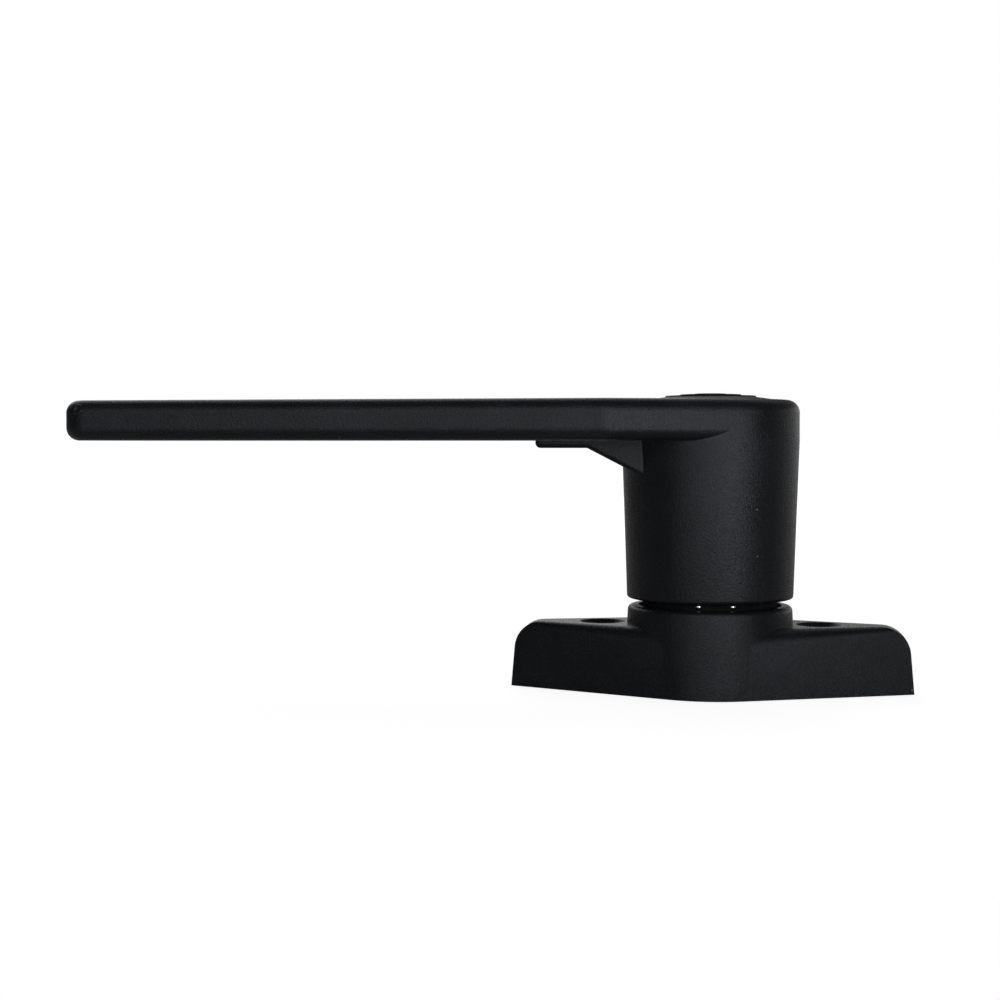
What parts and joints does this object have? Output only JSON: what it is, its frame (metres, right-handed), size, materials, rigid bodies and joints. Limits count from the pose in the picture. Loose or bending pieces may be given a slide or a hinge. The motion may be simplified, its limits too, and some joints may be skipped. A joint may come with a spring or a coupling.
{
  "type": "push-button window lock",
  "caption": "Cranked lever handle on a tapered hub with a domed push button, turning on a steel spindle in a rhombic screw-down base, for locking a window.",
  "frame": {"origin": "centre of the base's mounting face, on the spindle's axis", "axes": "+Z out of the mounting face along the spindle, -X along the lever at rest, +Y to the side"},
  "size_m": [0.1315, 0.0404, 0.0464],
  "materials": {
    "black_plastic": "fine spark-grained moulded surface",
    "polished_steel": "polished",
    "plated_steel": "zinc plated",
    "acetal": "natural moulded"
  },
  "bodies": {
    "base": {"base": "black_plastic", "spindle": "polished_steel", "thrust_washer": "acetal", "lock_plate": "plated_steel", "spindle_washer": "plated_steel", "spindle_screw": "plated_steel", "button_spring": "plated_steel"},
    "handle": {"handle": "black_plastic", "hub_bush": "acetal", "button_bezel": "black_plastic"},
    "button": {"push_button": "black_plastic", "lock_pin": "plated_steel"}
  },
  "joints": [
    {"name": "handle_turn", "type": "hinge", "parent": "base", "child": "handle", "pos_m": [0, 0, 0], "axis": [0, 0, 1], "range_deg": [0, 90]},
    {"name": "button_press", "type": "slide", "parent": "handle", "child": "button", "axis": [0, 0, -1], "range_m": [0, 0.003], "stiffness_N_per_m": 400, "springref_m": -0.002, "deforming": ["button_spring"]}
  ]
}
